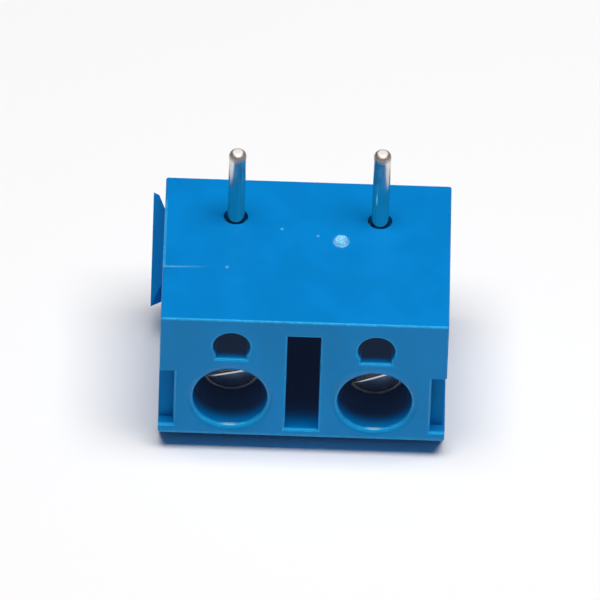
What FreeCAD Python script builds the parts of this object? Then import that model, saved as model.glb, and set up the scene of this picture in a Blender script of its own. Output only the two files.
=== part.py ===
"""Two-pole screw terminal block for a printed circuit board, 7.5 mm pitch.

The block lies on its wire-entry face with its two solder pins up, as it is photographed.
Millimetres, +Z along the pins. The origin is midway between the pins, on the face that
meets the board. The screws are driven from the front (-Y) and the wires come from below.
"""

import FreeCAD, Part
import math
import os

# Housing outline
pitch = 7.5
pole_gap_loss = 0.1
front_to_pins = 8.05
pins_to_back = 3.05
housing_height = 9.1
front_bevel_height = 1.2
front_bevel_depth = 1.45
edge_radius = 0.12

# Screw wells and test openings in the front
screw_axis_depth = 5.35
well_radius = 1.93
well_lip = 0.14
test_radius = 0.96
test_centre_depth = 1.88
test_flat_below_centre = 0.82
test_foot_width = 1.56
test_lip = 0.12

# Air slot between the poles, and the notches at the front corners
slot_width = 1.72
slot_top_depth = 1.03
slot_bottom_depth = 7.45
slot_back_wall = 1.2
slot_lip = 0.12
notch_width = 0.78
notch_reach = 0.65
notch_top_depth = 3.7
notch_bottom_depth = 7.35
notch_lip = 0.12
flank_step = 0.12

# Clamp chambers
chamber_width = 4.4
board_wall = 1.0
back_wall = 0.85
mouth_funnel = 0.4

# Joining rib on the left and its groove on the right
rib_reach = 0.62
rib_outer_width = 2.0
rib_root_width = 1.15
rib_back_margin = 1.7
rib_top_depth = 0.5
rib_top_width = 0.2
rib_length = 6.2
groove_clearance = 0.1

# Gate mark on the board face
gate_radius = 0.4
gate_sink = 0.05
gate_x = 1.76
gate_y = -1.55

# Clamps: lengths of drawn brass channel, open towards the wire
clamp_clearance = 0.1
clamp_web = 0.8
clamp_floor = 0.8
clamp_thread_wall = 1.3
clamp_below_axis = 2.25
clamp_outer_bend = 0.8
clamp_inner_bend = 0.3
wire_space = 2.65

# Solder pins, riveted into the clamps
pin_radius = 0.45
pin_length = {"left": 4.55, "right": 4.8}
pin_hole_radius = 0.635
pin_hole_set_back = 0.1
pin_tip_round = 0.28
rivet_radius = 0.75
rivet_height = 0.25
rivet_round = 0.1
rivet_clearance = 0.02

# Clamping screws
thread_radius = 1.45
thread_clearance = 0.05
screw_recess = 2.37
head_radius = 1.7
head_height = 1.0
head_round = 0.2
drive_slot_width = 0.62
drive_slot_depth = 0.6
tip_chamfer = 0.35
drive_slot_turn = {"left": 15.1, "right": 22.8}

# Wire guards: bent leaves pushed by the screws
guard_thickness = 0.35
guard_side_gap = 0.15
guard_gap = 0.03
guard_top_gap = 0.15
guard_foot = 1.1
guard_foot_gap = 0.05

# Places worked out from the sizes above
width = 2 * pitch - pole_gap_loss
side = width / 2
front = -front_to_pins
back = pins_to_back
bottom = -housing_height
screw_z = -screw_axis_depth
test_flat = -test_centre_depth - test_flat_below_centre
chamber_back = back - back_wall
clamp_half = chamber_width / 2 - clamp_clearance
clamp_back = chamber_back - clamp_clearance / 2
clamp_inner_back = clamp_back - clamp_floor
clamp_inner_front = clamp_inner_back - wire_space
clamp_front = clamp_inner_front - clamp_thread_wall
chamber_front = clamp_front - clamp_clearance
clamp_top = -board_wall
clamp_under_web = clamp_top - clamp_web
clamp_bottom = screw_z - clamp_below_axis
head_front = front + screw_recess
guard_front = clamp_inner_front + guard_gap
screw_tip = clamp_inner_front + guard_gap / 3
pole_x = {"left": -pitch / 2, "right": pitch / 2}

vec = FreeCAD.Vector
X_AXIS = vec(1, 0, 0)
Y_AXIS = vec(0, 1, 0)
Z_AXIS = vec(0, 0, 1)


def box(x, y, z):
    """A block between two values on each axis."""
    return Part.makeBox(x[1] - x[0], y[1] - y[0], z[1] - z[0], vec(x[0], y[0], z[0]))


def prism(points, reach):
    """The closed outline through the points, pushed along reach."""
    outline = Part.makePolygon(points + points[:1])
    return Part.Face(outline).extrude(reach)


def loft(rings):
    """A solid between flat outlines with the same number of corners."""
    return Part.makeLoft([Part.makePolygon(r + r[:1]) for r in rings], True, True)


def notch(x):
    """A rectangular notch in a front corner, with a chamfered lip."""
    y = (front, front + notch_reach)
    z = (-notch_bottom_depth, -notch_top_depth)
    rings = []
    for spread, place in ((notch_lip, front), (0, front + notch_lip)):
        rings.append(
            [
                vec(x[0] - spread, place, z[0] - spread),
                vec(x[1] + spread, place, z[0] - spread),
                vec(x[1] + spread, place, z[1] + spread),
                vec(x[0] - spread, place, z[1] + spread),
            ]
        )
    return box(x, y, z).fuse(loft(rings))


def block():
    """The outer block: a side profile with a bevel under the screw face, its edges rounded."""
    profile = [
        vec(-side, front, 0),
        vec(-side, back, 0),
        vec(-side, back, bottom),
        vec(-side, front + front_bevel_depth, bottom),
        vec(-side, front, bottom + front_bevel_height),
    ]
    solid = prism(profile, X_AXIS * width)
    return solid.makeFillet(edge_radius, solid.Edges)


def flank_cut():
    """The right side beside the notch lies a little inside the rest of it."""
    top = flank_step - notch_top_depth
    inner = side - flank_step
    outer = side + edge_radius
    profile = [
        vec(inner, front, top - flank_step),
        vec(side, front, top),
        vec(outer, front, top),
        vec(outer, front, -notch_bottom_depth),
        vec(inner, front, -notch_bottom_depth),
    ]
    return prism(profile, Y_AXIS * (back - front))


def well(x):
    """Screwdriver well from the front to the clamp chamber."""
    start = vec(x, front, screw_z)
    return Part.makeCylinder(well_radius, chamber_front - front, start, Y_AXIS)


def test_opening(x):
    """Opening for a test probe: round towards the board, square towards the screw."""
    y = (front, chamber_front)
    centre = vec(x, front, -test_centre_depth)
    bore = Part.makeCylinder(test_radius, chamber_front - front, centre, Y_AXIS)
    above_flat = box((x - test_radius, x + test_radius), y, (test_flat, 0))
    half = test_foot_width / 2
    foot = box((x - half, x + half), y, (test_flat, -test_centre_depth))
    return bore.common(above_flat).fuse(foot)


def round_mouth(solid, x, z, radius):
    """Rounds the edges of the front face that lie inside the spans x and z."""
    edges = []
    for edge in solid.Edges:
        b = edge.BoundBox
        in_face = abs(b.YMin - front) < 1e-4 and abs(b.YMax - front) < 1e-4
        in_spans = x[0] < b.XMin and b.XMax < x[1] and z[0] < b.ZMin and b.ZMax < z[1]
        if in_face and in_spans:
            edges.append(edge)
    return solid.makeFillet(radius, edges)


def chamber(x):
    """Clamp chamber, open to the wire face through a funnel, and its pin hole."""
    half = chamber_width / 2
    room = box((x - half, x + half), (chamber_front, chamber_back), (bottom, clamp_top))
    rings = []
    for spread, z in ((mouth_funnel, bottom), (0, bottom + mouth_funnel)):
        rings.append(
            [
                vec(x - half - spread, chamber_front - spread, z),
                vec(x + half + spread, chamber_front - spread, z),
                vec(x + half + spread, chamber_back + spread, z),
                vec(x - half - spread, chamber_back + spread, z),
            ]
        )
    hole_start = vec(x, pin_hole_set_back, clamp_top)
    pin_hole = Part.makeCylinder(pin_hole_radius, board_wall, hole_start, Z_AXIS)
    return room.fuse([loft(rings), pin_hole])


def dovetail(face_x, grow, top, length):
    """A dovetail bar down the block, that stands rib_reach out to the left of face_x."""
    middle = back - rib_back_margin
    root = rib_root_width / 2 + grow
    outer = rib_outer_width / 2 + grow
    far = face_x - rib_reach - grow
    points = [
        vec(face_x, middle - root, top),
        vec(far, middle - outer, top),
        vec(far, middle + outer, top),
        vec(face_x, middle + root, top),
    ]
    return prism(points, Z_AXIS * -length)


def joining_rib():
    """The rib on the left side. Its front leans back, so that its top end is narrow."""
    bar = dovetail(-side, 0, -rib_top_depth, rib_length)
    rear = back - rib_back_margin + rib_outer_width / 2
    outside = -side - rib_reach
    lean = [
        vec(outside, rear - rib_top_width, -rib_top_depth),
        vec(outside, rear - rib_outer_width, -rib_top_depth - rib_length),
        vec(outside, rear - rib_outer_width, -rib_top_depth),
    ]
    return bar.cut(prism(lean, X_AXIS * rib_reach))


def make_housing():
    """The blue moulding that carries everything else."""
    solid = block().cut(flank_cut()).fuse(joining_rib())
    groove_top = groove_clearance - rib_top_depth
    cuts = [dovetail(side, groove_clearance, groove_top, housing_height)]
    for x in pole_x.values():
        cuts += [well(x), test_opening(x), chamber(x)]
    slot_x = (-slot_width / 2, slot_width / 2)
    slot_z = (-slot_bottom_depth, -slot_top_depth)
    cuts.append(box(slot_x, (front, back - slot_back_wall), slot_z))
    cuts.append(notch((-side - notch_lip, notch_width - side)))
    cuts.append(notch((side - notch_width, side + notch_lip)))
    cuts.append(Part.makeCylinder(gate_radius, gate_sink, vec(gate_x, gate_y, -gate_sink), Z_AXIS))
    solid = solid.cut(cuts)
    between = (test_flat + screw_z + well_radius) / 2
    for x in pole_x.values():
        near = (x - pitch / 3, x + pitch / 3)
        solid = round_mouth(solid, near, (bottom, between), well_lip)
        solid = round_mouth(solid, near, (between, 0), test_lip)
    return round_mouth(solid, (-slot_width, slot_width), (bottom, 0), slot_lip)


def make_clamp(x):
    """Brass channel: threaded front wall, web under the board wall, plain back wall."""
    x_span = (x - clamp_half, x + clamp_half)
    outer = box(x_span, (clamp_front, clamp_back), (clamp_bottom, clamp_top))
    outer_edges = [e for e in outer.Edges if along_x_at(e, clamp_top)]
    outer = outer.makeFillet(clamp_outer_bend, outer_edges)
    inner = box(x_span, (clamp_inner_front, clamp_inner_back), (clamp_bottom, clamp_under_web))
    inner_edges = [e for e in inner.Edges if along_x_at(e, clamp_under_web)]
    inner = inner.makeFillet(clamp_inner_bend, inner_edges)
    bore_start = vec(x, clamp_front, screw_z)
    bore_radius = thread_radius + thread_clearance
    bore = Part.makeCylinder(bore_radius, clamp_thread_wall, bore_start, Y_AXIS)
    seat_radius = pin_radius + rivet_clearance
    pin_seat = Part.makeCylinder(seat_radius, clamp_web, vec(x, 0, clamp_under_web), Z_AXIS)
    return outer.cut([inner, bore, pin_seat])


def along_x_at(edge, z):
    """True for a straight edge along X at height z."""
    first, last = edge.Vertexes[0].Point, edge.Vertexes[-1].Point
    level = abs(first.z - z) < 1e-6 and abs(last.z - z) < 1e-6
    return level and abs(first.x - last.x) > 1e-6


def make_pin(x, top):
    """Round tinned pin with a rounded tip, its lower end riveted under the web."""
    head = clamp_under_web - rivet_height
    r = pin_tip_round
    c = rivet_round
    mid = r * math.sin(math.pi / 4)
    tip_mid = vec(pin_radius - r + mid, 0, top - r + mid)
    edges = [
        Part.LineSegment(vec(0, 0, top), vec(pin_radius - r, 0, top)),
        Part.Arc(vec(pin_radius - r, 0, top), tip_mid, vec(pin_radius, 0, top - r)),
        Part.LineSegment(vec(pin_radius, 0, top - r), vec(pin_radius, 0, 0)),
        Part.LineSegment(vec(pin_radius, 0, 0), vec(pin_radius, 0, clamp_under_web)),
        Part.LineSegment(vec(pin_radius, 0, clamp_under_web), vec(rivet_radius, 0, clamp_under_web)),
        Part.LineSegment(vec(rivet_radius, 0, clamp_under_web), vec(rivet_radius, 0, head + c)),
        Part.LineSegment(vec(rivet_radius, 0, head + c), vec(rivet_radius - c, 0, head)),
        Part.LineSegment(vec(rivet_radius - c, 0, head), vec(0, 0, head)),
        Part.LineSegment(vec(0, 0, head), vec(0, 0, top)),
    ]
    half = Part.Face(Part.Wire([e.toShape() for e in edges]))
    return half.revolve(vec(0, 0, 0), Z_AXIS, 360).translated(vec(x, 0, 0))


def make_screw(x, turn):
    """Slotted cheese-head screw, backed out, its axis along Y and its slot turned."""
    under_head = head_front + head_height
    r = head_round
    c = tip_chamfer
    mid = r * math.sin(math.pi / 4)
    round_mid = vec(head_radius - r + mid, head_front + r - mid, 0)
    edges = [
        Part.LineSegment(vec(0, head_front, 0), vec(head_radius - r, head_front, 0)),
        Part.Arc(vec(head_radius - r, head_front, 0), round_mid, vec(head_radius, head_front + r, 0)),
        Part.LineSegment(vec(head_radius, head_front + r, 0), vec(head_radius, under_head, 0)),
        Part.LineSegment(vec(head_radius, under_head, 0), vec(thread_radius, under_head, 0)),
        Part.LineSegment(vec(thread_radius, under_head, 0), vec(thread_radius, screw_tip - c, 0)),
        Part.LineSegment(vec(thread_radius, screw_tip - c, 0), vec(thread_radius - c, screw_tip, 0)),
        Part.LineSegment(vec(thread_radius - c, screw_tip, 0), vec(0, screw_tip, 0)),
        Part.LineSegment(vec(0, screw_tip, 0), vec(0, head_front, 0)),
    ]
    solid = Part.Face(Part.Wire([e.toShape() for e in edges])).revolve(vec(0, 0, 0), Y_AXIS, 360)
    slot = box(
        (-head_radius, head_radius),
        (head_front, head_front + drive_slot_depth),
        (-drive_slot_width / 2, drive_slot_width / 2),
    )
    solid = solid.cut(slot)
    solid.rotate(vec(0, 0, 0), Y_AXIS, -turn)
    return solid.translated(vec(x, 0, screw_z))


def make_guard(x):
    """Bent leaf between the screw and the wire, with a foot under the threaded wall."""
    half = clamp_half - guard_side_gap
    t = guard_thickness
    top = clamp_under_web - rivet_height - guard_top_gap
    foot_top = clamp_bottom - guard_foot_gap
    low = foot_top - t
    rear = guard_front + t
    profile = [
        vec(x - half, guard_front, top),
        vec(x - half, rear, top),
        vec(x - half, rear, low),
        vec(x - half, guard_front - guard_foot, low),
        vec(x - half, guard_front - guard_foot, foot_top),
        vec(x - half, guard_front, foot_top),
    ]
    leaf = prism(profile, X_AXIS * (2 * half))
    bend = [e for e in leaf.Edges if along_x_at(e, low) and abs(e.Vertexes[0].Point.y - rear) < 1e-6]
    return leaf.makeFillet(t, bend)


def write(shape, name):
    """One STEP file for each piece, named after it."""
    shape.exportStep(os.path.join("parts", name + ".step"))


os.makedirs("parts", exist_ok=True)
write(make_housing(), "housing")
for hand, x in pole_x.items():
    write(make_clamp(x), "clamp_" + hand)
    write(make_pin(x, pin_length[hand]), "solder_pin_" + hand)
    write(make_guard(x), "wire_guard_" + hand)
    write(make_screw(x, drive_slot_turn[hand]), "clamp_screw_" + hand)
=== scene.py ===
"""A two-pole screw terminal block for a circuit board, lying on its wire face with its pins up."""

import bmesh
import bpy
import numpy as np
from mathutils import Matrix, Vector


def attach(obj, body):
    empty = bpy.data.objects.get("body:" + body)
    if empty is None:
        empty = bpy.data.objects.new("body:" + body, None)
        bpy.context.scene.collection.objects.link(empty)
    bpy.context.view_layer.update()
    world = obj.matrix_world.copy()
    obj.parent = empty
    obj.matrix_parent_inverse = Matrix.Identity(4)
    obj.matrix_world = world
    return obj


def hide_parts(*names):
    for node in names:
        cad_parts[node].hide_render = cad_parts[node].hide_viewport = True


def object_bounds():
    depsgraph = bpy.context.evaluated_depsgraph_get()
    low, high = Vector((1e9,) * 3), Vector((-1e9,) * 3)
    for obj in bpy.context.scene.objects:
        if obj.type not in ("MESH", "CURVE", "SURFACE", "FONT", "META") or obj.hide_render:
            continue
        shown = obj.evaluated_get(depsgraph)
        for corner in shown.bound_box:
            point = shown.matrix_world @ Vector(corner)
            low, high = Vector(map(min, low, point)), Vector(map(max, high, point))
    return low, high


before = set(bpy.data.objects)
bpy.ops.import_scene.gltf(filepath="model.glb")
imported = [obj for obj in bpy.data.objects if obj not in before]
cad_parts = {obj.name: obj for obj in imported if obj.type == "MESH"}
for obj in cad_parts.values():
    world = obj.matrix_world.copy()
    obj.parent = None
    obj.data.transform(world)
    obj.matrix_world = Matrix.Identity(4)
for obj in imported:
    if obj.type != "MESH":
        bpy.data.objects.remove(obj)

cad_low, cad_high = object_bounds()

# Housing
# One injection moulding in blue polyamide with a satin skin. The wells for the screws, the test
# openings, the slot between the poles and the pin holes are cored in it, and it carries the rest.

MM = 0.001
PITCH = 7.5 * MM
FRONT = -8.05 * MM
SIDE = 7.45 * MM
LOW_EDGE_Z = -7.87 * MM
SCREW_Z = -5.35 * MM
TEST_Z = -1.88 * MM

# The mouths in the front, each to the outer edge of its lip, and how far back the cores go
WELL_MOUTH = 2.075 * MM
TEST_MOUTH, TEST_FLAT, FOOT_HALF = 1.085 * MM, -2.825 * MM, 0.905 * MM
SLOT_HALF_WIDTH, SLOT_BOTTOM, SLOT_TOP = 0.985 * MM, -7.575 * MM, -0.905 * MM
NOTCH_INNER, NOTCH_BOTTOM, NOTCH_TOP = 6.55 * MM, -7.47 * MM, -3.58 * MM
NOTCH_BACK, CORES_BACK = 0.66 * MM, 9.95 * MM
CRISP = 0.01 * MM

# Marks on the board face: the gate, the end of a crease that carries a painted highlight, and
# specks with their radii in millimetres
GATE_X, GATE_Y = 1.76 * MM, -1.55 * MM
TEAR_RADIUS, TEAR_STRETCH, TEAR_BOTTOM = 0.41 * MM, 1.14, -0.12 * MM
CREASE_X, CREASE_Y = -4.12 * MM, -3.89 * MM
SPECKS = ((-1.33, -0.78, 0.11), (0.55, -1.24, 0.1), (-4.12, -3.89, 0.12))

HOUSING_BLUE = (0.0, 0.213, 0.6)
# In order below: painted shade for the cores; a painted highlight for edges; the gate's whitening,
# also a painted highlight on the crease; painted highlights for the lips and a glint; a faint
# painted glow, blue and grey.
PAINTED_SHADE_BLUE = (0.002, 0.022, 0.075)
EDGE_HIGHLIGHT_BLUE = (0.05, 0.47, 0.85)
TORN_AND_CREASE_HIGHLIGHT_BLUE = (0.25, 0.6, 0.9)
LIP_HIGHLIGHT_BLUE = (0.02, 0.47, 0.97)
GLINT_BLUE = (0.4, 0.75, 1.0)
GLOW_BLUE = (0.004, 0.007, 0.0165)
GLOW_GREY = (0.0097, 0.0159, 0.0274)


class Socket:
    """A node's output on which Python's operators add Math nodes."""

    def __init__(self, tree, out):
        self.tree = tree
        self.out = out

    def node(self, kind, settings, *values, output=0, **named):
        """Adds a node with its settings, fills its sockets in order or by name, gives an output."""
        made = self.tree.nodes.new(kind)
        for key, value in settings.items():
            setattr(made, key, value)
        for key, value in [*enumerate(values), *named.items()]:
            socket = made.inputs[key if isinstance(key, int) else key.replace("_", " ")]
            if isinstance(value, Socket):
                self.tree.links.new(value.out, socket)
            else:
                socket.default_value = value
        return Socket(self.tree, made.outputs[output])

    def math(self, operation, *values):
        return self.node("ShaderNodeMath", {"operation": operation}, *values)

    def __add__(self, other):
        return self.math("ADD", self, other)

    def __sub__(self, other):
        return self.math("SUBTRACT", self, other)

    def __rsub__(self, other):
        return self.math("SUBTRACT", other, self)

    def __mul__(self, other):
        return self.math("MULTIPLY", self, other)

    def __abs__(self):
        return self.math("ABSOLUTE", self)

    __radd__ = __add__
    __rmul__ = __mul__

    def over(self, other):
        """The greater of two values."""
        return self.math("MAXIMUM", self, other)

    def ramp(self, low, high):
        """0 at low and 1 at high, smooth between. With low above high it falls."""
        settings = {"interpolation_type": "SMOOTHSTEP"}
        if low < high:
            return self.node("ShaderNodeMapRange", settings, self, low, high)
        return 1 - self.node("ShaderNodeMapRange", settings, self, high, low)

    def within(self, reach, edge):
        """1 where the value is less than reach from 0 either way, fading over edge."""
        return abs(self).ramp(reach, reach - edge)

    def mix(self, first, second):
        """A colour from first to second by this value."""
        made = self.tree.nodes.new("ShaderNodeMix")
        made.data_type = "RGBA"
        self.tree.links.new(self.out, made.inputs[0])
        for index, value in ((6, first), (7, second)):
            if isinstance(value, Socket):
                self.tree.links.new(value.out, made.inputs[index])
            else:
                made.inputs[index].default_value = (*value[:3], 1.0)
        return Socket(self.tree, made.outputs[2])

    def parts(self):
        """The three coordinates of a place."""
        made = self.tree.nodes.new("ShaderNodeSeparateXYZ")
        self.tree.links.new(self.out, made.inputs[0])
        return [Socket(self.tree, out) for out in made.outputs]

    def noise(self, cell, detail=2.0, stretch=(1, 1, 1), shift=0.0):
        """Noise from 0 to 1 at this place, its lumps about cell metres across."""
        scale = tuple(s / cell for s in stretch)
        spot = self.node("ShaderNodeMapping", {}, Vector=self, Scale=scale, Location=(shift,) * 3)
        return self.node("ShaderNodeTexNoise", {}, Vector=spot, Scale=1.0, Detail=detail)


def new_material(name, **fixed):
    """A material with its shader's plain values set. Gives it, its shader and its place socket."""
    material = bpy.data.materials.new(name)
    material.use_nodes = True
    tree = material.node_tree
    shader = tree.nodes["Principled BSDF"]
    for key, value in fixed.items():
        shader.inputs[key.replace("_", " ")].default_value = value
    return material, shader, Socket(tree, tree.nodes.new("ShaderNodeTexCoord").outputs["Object"])


def feed(shader, height=None, depth=0.0, **sockets):
    """Links values to the shader, and presses a height from 0 to 1 into it, depth metres deep."""
    if height is not None:
        bump = {"Strength": 1.0, "Distance": depth, "Height": height}
        sockets["Normal"] = height.node("ShaderNodeBump", {}, **bump)
    for key, value in sockets.items():
        value.tree.links.new(value.out, shader.inputs[key.replace("_", " ")])


def dress(name, material):
    """Gives a CAD node its material."""
    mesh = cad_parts[name].data
    mesh.materials.clear()
    mesh.materials.append(material)


def disc(across, up, reach, edge):
    """1 where a place lies less than reach from a centre, fading over edge."""
    return (across * across + up * up).ramp(reach**2, (reach - edge) ** 2)


def between(value, low, high, edge=CRISP):
    """1 where a value lies between low and high, fading over edge."""
    return (value - (low + high) / 2).within((high - low) / 2, edge)


def cored(x, behind, z):
    """Three masks: 1 on the lips and walls of the wells, of the test openings and of the slot."""
    off = abs(x) - PITCH / 2
    well = disc(off, z - SCREW_Z, WELL_MOUTH, CRISP)
    foot = off.within(FOOT_HALF, CRISP) * between(z, TEST_FLAT, TEST_Z)
    probe = disc(off, z - TEST_Z, TEST_MOUTH, CRISP).over(foot)
    probe = probe * z.ramp(TEST_FLAT, TEST_FLAT + CRISP)
    slot = x.within(SLOT_HALF_WIDTH, CRISP) * between(z, SLOT_BOTTOM, SLOT_TOP)
    ahead = behind.ramp(CORES_BACK + 0.2 * MM, CORES_BACK)
    return well * ahead, probe * ahead, slot * ahead


def notched(x, behind, z):
    """1 on the lips and walls of the two corner notches."""
    beside = abs(x).ramp(NOTCH_INNER, NOTCH_INNER + CRISP) * between(z, NOTCH_BOTTOM, NOTCH_TOP)
    return beside * behind.ramp(NOTCH_BACK + CRISP, NOTCH_BACK)


def painted_core_shade(behind, well, probe, slot):
    """Painted shade: from 0 to 1 inwards on the walls of the cores, sooner in a narrow one."""
    in_well = well * behind.ramp(0.2 * MM, 1.3 * MM)
    in_probe = probe * behind.ramp(0.12 * MM, 0.7 * MM)
    in_slot = slot * behind.ramp(0.3 * MM, 1.8 * MM)
    return in_well.over(in_probe).over(in_slot)


def sunk(x, z):
    """From 0 to 1 towards a well, where its mouth has sunk a little round the lip."""
    return disc(abs(x) - PITCH / 2, z - SCREW_Z, 2.3 * MM, 0.32 * MM)


def painted_low_lip_highlights(x, behind, z, well, probe, slot, notch):
    """1 on the lower lips of the openings, where a pale painted highlight lies."""
    low = well.over(sunk(x, z)) * z.ramp(SCREW_Z - 0.75 * MM, SCREW_Z - 1.75 * MM)
    low = low.over(probe * z.ramp(TEST_FLAT + 0.205 * MM, TEST_FLAT + 0.105 * MM))
    low = low.over(slot * z.ramp(SLOT_BOTTOM + 0.275 * MM, SLOT_BOTTOM + 0.125 * MM))
    low = low.over(notch * z.ramp(NOTCH_BOTTOM + 0.17 * MM, NOTCH_BOTTOM + 0.07 * MM))
    return low * behind.ramp(0.22 * MM, 0.1 * MM)


def glint(x, behind, z):
    """1 along a short arc at the middle of each well's lower lip, where a painted highlight lies.
    """
    across = (abs(x) - PITCH / 2).within(0.5 * MM, 0.4 * MM)
    low = between(z, -7.6 * MM, -7.1 * MM, 0.1 * MM)
    return across * low * between(behind, 0.02 * MM, 0.22 * MM, 0.07 * MM)


def painted_edge_highlights(x, y, behind, z):
    """1 on the edges that carry a painted highlight: the front's top and lower edges, and part of
    the board face's left edge."""
    top = disc(behind, z, 0.12 * MM, 0.06 * MM)
    low = disc(behind, z - LOW_EDGE_Z, 0.15 * MM, 0.09 * MM) * 0.6
    left = disc(x + SIDE, z, 0.16 * MM, 0.08 * MM) * between(y, -4.1 * MM, 1.3 * MM, 0.3 * MM)
    return top.over(low).over(left)


def marks_and_crease_highlight(x, y, z, mottle):
    """The gate's torn ring, a painted highlight along a crease from the left edge and a few specks,
    all on the board face.
    """
    gate = disc(x - GATE_X, (y - GATE_Y + 0.05 * MM) * 0.85, 0.46 * MM, 0.1 * MM)
    gate = gate * mottle.ramp(0.1, 0.6) * 0.8
    # A painted highlight along the crease.
    line = (y - CREASE_Y + abs(x - CREASE_X) * 0.03).within(0.1 * MM, 0.09 * MM)
    crease = line * x.ramp(-4.8 * MM, -7.2 * MM) * mottle.ramp(0.2, 0.6) * 0.45
    marks = gate.over(crease)
    for speck_x, speck_y, size in SPECKS:
        speck = disc(x - speck_x * MM, y - speck_y * MM, size * MM, size * MM)
        marks = marks.over(speck * 0.5)
    return marks * z.ramp(-0.08 * MM, -0.05 * MM)


def moulded_blue():
    """Blue polyamide: a satin skin with faint flow marks and fine grain. The cores are polished;
    painted shade darkens them inwards, and a faint painted glow lifts that shade. Painted
    highlights lie along some edges, on the lips of the openings and along a crease."""
    # The emission carries only the painted glow in the cores.
    fixed = {"IOR": 1.53, "Specular_Tint": (0.15, 0.9, 1, 1), "Emission_Strength": 1.0}
    material, shader, place = new_material("blue_polyamide", **fixed)
    x, y, z = place.parts()
    behind = y - FRONT
    flow = place.noise(3.0 * MM, 3.0, (1, 1, 0.5))
    grain = place.noise(0.07 * MM)
    mottle = place.noise(0.22 * MM, 3.0)
    well, probe, slot = cored(x, behind, z)
    notch = notched(x, behind, z)
    inside = well.over(probe).over(slot)
    # deep carries the painted shade and glow of the cores; low and lips carry the painted lip
    # highlights.
    deep = painted_core_shade(behind, well, probe, slot)
    low = painted_low_lip_highlights(x, behind, z, well, probe, slot, notch)
    lips = inside.over(notch) * behind.ramp(0.13 * MM, 0.02 * MM)
    # From here notch marks the painted shade and the rougher skin in the notches.
    notch = notch * behind.ramp(0.05 * MM, 0.2 * MM)
    # Uneven strength for the painted highlights on the edges and lips.
    highlight_unevenness = mottle.ramp(0.2, 0.8) * 0.5 + 0.25
    lighter = tuple(c * 1.05 for c in HOUSING_BLUE)
    darker = tuple(c * 0.95 for c in HOUSING_BLUE)
    colour = flow.ramp(0.35, 0.65).mix(darker, lighter)
    # Painted highlights along the edges.
    colour = (painted_edge_highlights(x, y, behind, z) * highlight_unevenness).mix(colour, EDGE_HIGHLIGHT_BLUE)
    # Painted highlights on the lips of the openings, paler on the lower lips.
    colour = (lips * highlight_unevenness * 0.5).over(low * (highlight_unevenness * 0.6 + 0.4)).mix(colour, LIP_HIGHLIGHT_BLUE)
    # A painted highlight on each well's lower lip.
    colour = glint(x, behind, z).mix(colour, GLINT_BLUE)
    # The gate's whitening and specks, and a painted highlight along the crease.
    colour = marks_and_crease_highlight(x, y, z, mottle).mix(colour, TORN_AND_CREASE_HIGHLIGHT_BLUE)
    # Painted shade deep in the cores and faintly in the notches.
    colour = (deep * 0.85).over(notch * 0.15).mix(colour, PAINTED_SHADE_BLUE)
    roughness = 0.38 + flow * 0.06 + grain * 0.08 - inside * 0.24 + notch * 0.4
    # A faint painted glow deep in the cores, blue in the wells and slot, grey in the test openings.
    painted_glow = deep.mix((0, 0, 0), probe.mix(GLOW_BLUE, GLOW_GREY))
    height = grain * 0.01 + (1 - sunk(x, z) * behind.ramp(0.16 * MM, 0.1 * MM)) * 0.99
    feed(shader, height, 0.12 * MM, Base_Color=colour, Roughness=roughness, Emission_Color=painted_glow)
    return material


blue = moulded_blue()
dress("housing", blue)


def surface(name, shape, nu, nv):
    """A mesh of quads over a function of two parameters that each run from 0 to 1."""
    u, v = np.meshgrid(np.linspace(0, 1, nu), np.linspace(0, 1, nv), indexing="ij")
    points = shape(u, v).reshape(-1, 3)
    i, j = np.meshgrid(np.arange(nu - 1), np.arange(nv - 1), indexing="ij")
    corner = (i * nv + j).ravel()
    faces = np.stack([corner, corner + nv, corner + nv + 1, corner + 1], axis=1)
    mesh = bpy.data.meshes.new(name)
    mesh.from_pydata(points.tolist(), [], faces.tolist())
    mesh.polygons.foreach_set("use_smooth", [True] * len(faces))
    obj = bpy.data.objects.new(name, mesh)
    bpy.context.scene.collection.objects.link(obj)
    return obj


def close(obj):
    """Merges the points that meet at seams and poles, and turns every face outwards."""
    work = bmesh.new()
    work.from_mesh(obj.data)
    bmesh.ops.remove_doubles(work, verts=work.verts, dist=0.0001 * MM)
    bmesh.ops.recalc_face_normals(work, faces=work.faces)
    work.to_mesh(obj.data)
    work.free()


def gate_tear(u, v):
    """The gate's torn stub: u runs round it, and v out from its middle and back below. The height
    is a rim, highest at seven tenths of the radius, uneven by sines of the angle, with a shallow
    crater inside. It is a little longer along Y, and a flat disc closes it below the board face."""
    angle = 2 * np.pi * u
    out = np.interp(v, [0, 0.8, 1], [0, 1, 0])
    uneven = 1 + 0.22 * np.sin(3 * angle + 1) + 0.12 * np.sin(7 * angle)
    rim = np.exp(-(((out - 0.7) / 0.2) ** 2)) * 0.13 * uneven
    height = (rim + 0.03 * (1 - out) - 0.075 * out**6 - 0.02) * MM
    height = np.where(v > 0.8, TEAR_BOTTOM, height)
    radius = TEAR_RADIUS * out * (1 + 0.04 * np.sin(2 * angle))
    x = GATE_X + radius * np.cos(angle)
    y = GATE_Y + TEAR_STRETCH * radius * np.sin(angle)
    return np.stack([x, y, height], axis=-1)


def torn_blue():
    """Blue polyamide whitened where it was torn off at the gate."""
    material, shader, place = new_material("torn_polyamide", IOR=1.53)
    mottle = place.noise(0.16 * MM, 2.0)
    colour = mottle.ramp(0.35, 0.65).mix((0.13, 0.5, 0.8), (0.3, 0.66, 0.93))
    feed(shader, mottle, 0.004 * MM, Base_Color=colour, Roughness=0.5 + mottle * 0.2)
    return material


tear = surface("gate_tear", gate_tear, 49, 21)
close(tear)
tear.data.materials.append(torn_blue())
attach(tear, "block")

# Solder pins
# Two lengths of round tinned brass wire, cut off and tumbled so that the tips are rounded, and
# riveted into the clamps. Drawing leaves fine streaks along them, and the tin has a few stains.

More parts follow.
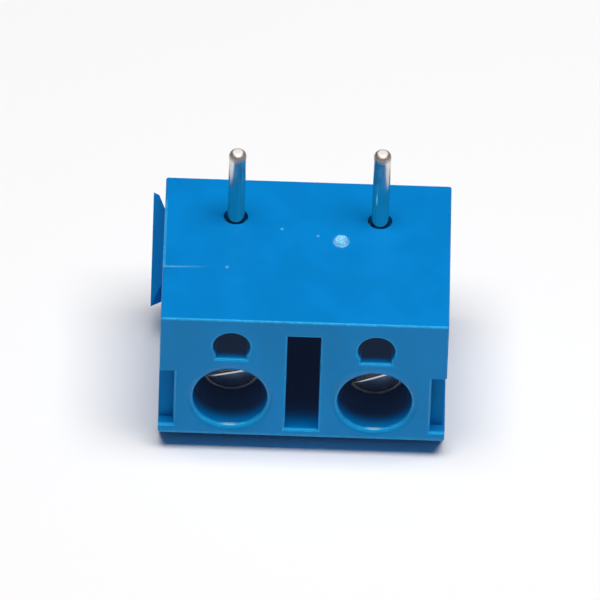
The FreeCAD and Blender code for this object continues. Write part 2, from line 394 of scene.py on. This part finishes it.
PIN_TOP, PIN_EXTRA = 4.55 * MM, 0.25 * MM
PIN_TIN = (0.76, 0.72, 0.69)
# Darker blue-green for the lower pins: painted shade with a painted reflection of the blue board.
PIN_SHADE_AND_REFLECTION = (0.5, 0.7, 0.66)
PIN_STAIN = (0.36, 0.28, 0.23)
PIN_CUT = (0.97, 0.94, 0.93)


def tinned_wire():
    """Bright tin with streaks along the wire. Lower down a darker blue-green is painted shade with
    a painted reflection of the blue board. The cut end is rough and pale in a stained ring."""
    material, shader, place = new_material("tinned_wire", Metallic=1.0)
    x, y, z = place.parts()
    streaks = place.noise(0.09 * MM, 2.0, (1, 1, 0.03))
    stains = place.noise(0.6 * MM, 4.0, (1, 1, 0.5), 3.0).ramp(0.45, 0.7)
    upper = z.ramp(1.8 * MM, 3.2 * MM)
    top = x.ramp(-1 * MM, 1 * MM) * PIN_EXTRA + PIN_TOP
    tip = (top - z).ramp(0.5 * MM, 0.25 * MM)
    end = disc(abs(x) - PITCH / 2, y, 0.3 * MM, 0.06 * MM) * tip
    stained = (stains * upper * 0.5).over((tip - end) * 0.45) + streaks.ramp(0.3, 0.7) * 0.25
    roughness = 0.07 + streaks * 0.05 + upper * 0.14 + tip * 0.3 + end * 0.25
    # Lower down the tin turns to the painted shade and reflection.
    colour = end.mix(stained.mix(upper.mix(PIN_SHADE_AND_REFLECTION, PIN_TIN), PIN_STAIN), PIN_CUT)
    feed(shader, streaks, 0.0006 * MM, Base_Color=colour, Roughness=roughness)
    return material


pin_tin = tinned_wire()
for hand in ("left", "right"):
    dress("solder_pin_" + hand, pin_tin)

# Clamps
# Each is sawn from a drawn brass channel, tapped through its front wall for the screw and
# tin plated. It hangs in its chamber by the riveted pin.


def plated_brass():
    """Dull tin over drawn brass, with draw lines along X and brass showing at places."""
    material, shader, place = new_material("plated_brass", Metallic=1.0)
    lines = place.noise(0.08 * MM, 2.0, (0.06, 1, 1))
    cloud = place.noise(1.2 * MM, 3.0)
    colour = (cloud * 0.6).mix((0.66, 0.63, 0.58), (0.52, 0.44, 0.3))
    feed(shader, lines, 0.003 * MM, Base_Color=colour, Roughness=0.3 + lines * 0.15)
    return material


clamp_tin = plated_brass()
for hand in ("left", "right"):
    dress("clamp_" + hand, clamp_tin)

# Wire guards
# Each is a leaf bent from stainless strip that keeps the turning screw off the wire. Its foot
# hooks under the clamp's threaded wall.


def rolled_strip():
    """Cold-rolled stainless strip with fine lines along its length."""
    material, shader, place = new_material("rolled_strip", Metallic=1.0)
    lines = place.noise(0.05 * MM, 2.0, (1, 1, 0.05))
    colour = lines.mix((0.52, 0.52, 0.52), (0.64, 0.64, 0.63))
    feed(shader, lines, 0.002 * MM, Base_Color=colour, Roughness=0.24 + lines * 0.12)
    return material


strip = rolled_strip()
for hand in ("left", "right"):
    dress("wire_guard_" + hand, strip)

# Clamping screws
# Each is a slotted cheese-head machine screw in zinc-plated steel with a rolled 3 mm thread of
# 0.5 mm pitch. It turns in the clamp's threaded wall at the bottom of its well.

HEAD_FRONT, UNDER_HEAD, SCREW_TIP = -5.68 * MM, -4.68 * MM, -1.29 * MM
HEAD_RADIUS, HEAD_ROUND = 1.7 * MM, 0.2 * MM
THREAD_CREST, THREAD_ROOT, THREAD_PITCH = 1.45 * MM, 1.2 * MM, 0.5 * MM
SLOT_HALF, SLOT_DEPTH, SLOT_DRAFT = 0.34 * MM, 0.6 * MM, 0.005 * MM
BREAK_WIDTH, BREAK_DEPTH = 0.1 * MM, 0.022 * MM
DISH_DEPTH = 0.012 * MM


def screw_head(u, v):
    """The head: u runs across the slot and v along it, from under the head up one side, over the
    face, down the other side and back below. The depth is the greater of the slot's, with its
    edges pressed in along their middle, and the rim's quarter round. Inside the rim the face is
    turned a little hollow."""
    slot_floor = SLOT_HALF - SLOT_DRAFT
    right = [slot_floor, SLOT_HALF, SLOT_HALF + BREAK_WIDTH, HEAD_RADIUS]
    marks = [0, 0.36, 0.4, 0.44, 0.56, 0.6, 0.64, 1]
    across = np.interp(u, marks, [-x for x in reversed(right)] + right)
    chord = np.sqrt(np.clip(HEAD_RADIUS**2 - across**2, 0, None))
    sweep = np.interp(v, [0, 0.04, 0.12, 0.88, 0.96, 1], [0, -1, -1, 1, 1, 0])
    along = chord * np.sin(np.pi / 2 * sweep)
    radius = np.hypot(across, along)
    pressed = np.clip((1.4 * MM - np.abs(along)) / (0.5 * MM), 0, 1) * BREAK_DEPTH
    cut = np.interp(u, marks, [0, 0, 0, 1, 1, 0, 0, 0]) * SLOT_DEPTH
    cut = cut + np.interp(u, marks, [0, 0, 1, 0, 0, 1, 0, 0]) * pressed
    past = np.clip(radius - (HEAD_RADIUS - HEAD_ROUND), 0, HEAD_ROUND)
    rim = HEAD_ROUND - np.sqrt(HEAD_ROUND**2 - past**2)
    hollow = DISH_DEPTH * np.clip((HEAD_RADIUS - HEAD_ROUND - radius) / (0.05 * MM), 0, 1)
    top = np.maximum(cut + hollow, rim)
    height = UNDER_HEAD - HEAD_FRONT
    down = np.interp(v, [0, 0.04, 0.12, 0.88, 0.96, 1], [1, 1, 0, 0, 1, 1])
    depth = top + (height - top) * down
    return np.stack([along, HEAD_FRONT + depth, across], axis=-1)


def screw_shank(u, v):
    """Shank: u runs from inside the head to the tip and v round it. The thread's radius rises and
    falls with (distance / pitch - angle / one turn), and it fades out under the head."""
    marks = [0, 0.01, 0.95, 0.98, 1]
    start = UNDER_HEAD - 0.1 * MM
    y = np.interp(u, marks, [start, start, SCREW_TIP - 0.3 * MM, SCREW_TIP, SCREW_TIP])
    envelope = np.interp(u, marks, [0, THREAD_CREST, THREAD_CREST, 1.1 * MM, 0])
    wave = np.abs(((y - UNDER_HEAD) / THREAD_PITCH - v) % 1.0 - 0.5) * 2
    flank = np.clip(wave * 1.35 - 0.12, 0, 1)
    cut = np.interp(y, [UNDER_HEAD + 0.2 * MM, UNDER_HEAD + 0.7 * MM], [0, 1])
    radius = np.minimum(envelope, THREAD_CREST - (THREAD_CREST - THREAD_ROOT) * flank * cut)
    radius = np.where((u < 0.01) | (u > 0.98), envelope, radius)
    angle = 2 * np.pi * v
    return np.stack([radius * np.sin(angle), y, radius * np.cos(angle)], axis=-1)


def zinc_steel():
    """Zinc plate: grey and bright, rubbed dull along the rim of the face."""
    material, shader, place = new_material("zinc_steel", Metallic=1.0)
    x, y, z = place.parts()
    cloud = place.noise(0.5 * MM, 3.0)
    fine = place.noise(0.06 * MM)
    colour = cloud.mix((0.5, 0.5, 0.52), (0.66, 0.65, 0.65))
    rim = 1 - disc(abs(x) - PITCH / 2, z - SCREW_Z, 1.48 * MM, 0.08 * MM)
    rim = rim * y.ramp(HEAD_FRONT + 0.3 * MM, HEAD_FRONT + 0.2 * MM)
    dull = rim * (cloud.ramp(0.35, 0.6) * 0.5 + 0.5)
    colour = (dull * 0.6).mix(colour, (0.22, 0.24, 0.28))
    roughness = 0.16 + fine * 0.12 + dull * 0.42
    feed(shader, fine, 0.001 * MM, Base_Color=colour, Roughness=roughness)
    return material


def make_screw(hand, x, turn):
    """Head and shank as one piece, turned by turn degrees about its axis as its slot stands."""
    head = surface("screw_head_" + hand, screw_head, 101, 101)
    shank = surface("clamping_screw_" + hand, screw_shank, 301, 49)
    with bpy.context.temp_override(active_object=shank, selected_editable_objects=[shank, head]):
        bpy.ops.object.join()
    close(shank)
    shank.data.transform(Matrix.Rotation(np.radians(-turn), 4, "Y"))
    shank.data.transform(Matrix.Translation((x, 0, SCREW_Z)))
    shank.data.materials.append(zinc)
    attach(shank, "screw_" + hand)
    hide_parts("clamp_screw_" + hand)


zinc = zinc_steel()
make_screw("left", -PITCH / 2, turn=15.1)
make_screw("right", PITCH / 2, turn=22.8)

# Studio
# A level sheet of white paper in a dim room, under one wide soft box overhead that hangs a little
# to the right and to the front.

FLOOR = 0.80
PAPER_WHITE = (0.97, 0.96, 0.96, 1)
ROOM_GREY = (0.035, 0.034, 0.034, 1)
AZIMUTH, ELEVATION, ROLL = -0.282, 41.77, 2.069
DISTANCE = 715.7 * MM
LOOK_AT = np.array([-0.275, -2.5, -3.367]) * MM
LENS = 825.3


def toward(azimuth, elevation):
    """The unit vector to a place at an azimuth round from the front and a height in degrees."""
    az, el = np.radians(azimuth), np.radians(elevation)
    return np.array([np.sin(az) * np.cos(el), -np.cos(az) * np.cos(el), np.sin(el)])


def aim(obj, away, distance, roll=0.0):
    """Places an object at a distance from the block, turned to look at it and rolled."""
    right = np.cross(-away, (0.0, 0.0, 1.0))
    right = right / np.linalg.norm(right)
    up = np.cross(right, -away)
    r = np.cos(roll) * right + np.sin(roll) * up
    u = np.cos(roll) * up - np.sin(roll) * right
    place = LOOK_AT + away * distance
    rows = [[r[i], u[i], away[i], place[i]] for i in range(3)]
    obj.matrix_world = Matrix(rows + [[0, 0, 0, 1]])


def add_camera():
    """The photograph's camera: far off with a long lens, looking down at the front."""
    data = bpy.data.cameras.new("camera")
    data.lens = LENS
    data.sensor_width = 36.0
    data.clip_start, data.clip_end = 0.01, 10.0
    camera = bpy.data.objects.new("camera", data)
    bpy.context.scene.collection.objects.link(camera)
    aim(camera, toward(AZIMUTH, ELEVATION), DISTANCE, np.radians(ROLL))
    bpy.context.scene.camera = camera


def add_soft_box(name, width, depth, azimuth, elevation, distance, shift, power):
    """A rectangular area light aimed at the block, then shifted to the right."""
    data = bpy.data.lights.new(name, "AREA")
    data.shape = "RECTANGLE"
    data.size, data.size_y = width, depth
    data.energy = power
    light = bpy.data.objects.new(name, data)
    bpy.context.scene.collection.objects.link(light)
    aim(light, toward(azimuth, elevation), distance)
    light.location.x += shift


def flat_paper(u, v):
    """The paper: a level square, u across it and v back along it."""
    return np.stack([(u - 0.5) * 2 * FLOOR, (v - 0.5) * 2 * FLOOR, cad_low.z + 0 * u], axis=-1)


paper = surface("paper", flat_paper, 3, 3)
white = new_material("white_paper", Base_Color=PAPER_WHITE, Roughness=0.9)[0]
paper.data.materials.append(white)
add_camera()
add_soft_box(
    "soft_box",
    width=0.36,
    depth=0.18,
    azimuth=0,
    elevation=84,
    distance=0.36,
    shift=0.03,
    power=1.59,
)
world = bpy.data.worlds.new("room")
bpy.context.scene.world = world
world.use_nodes = True
room = world.node_tree.nodes["Background"]
room.inputs["Color"].default_value = ROOM_GREY
bpy.context.scene.view_settings.view_transform = "Standard"
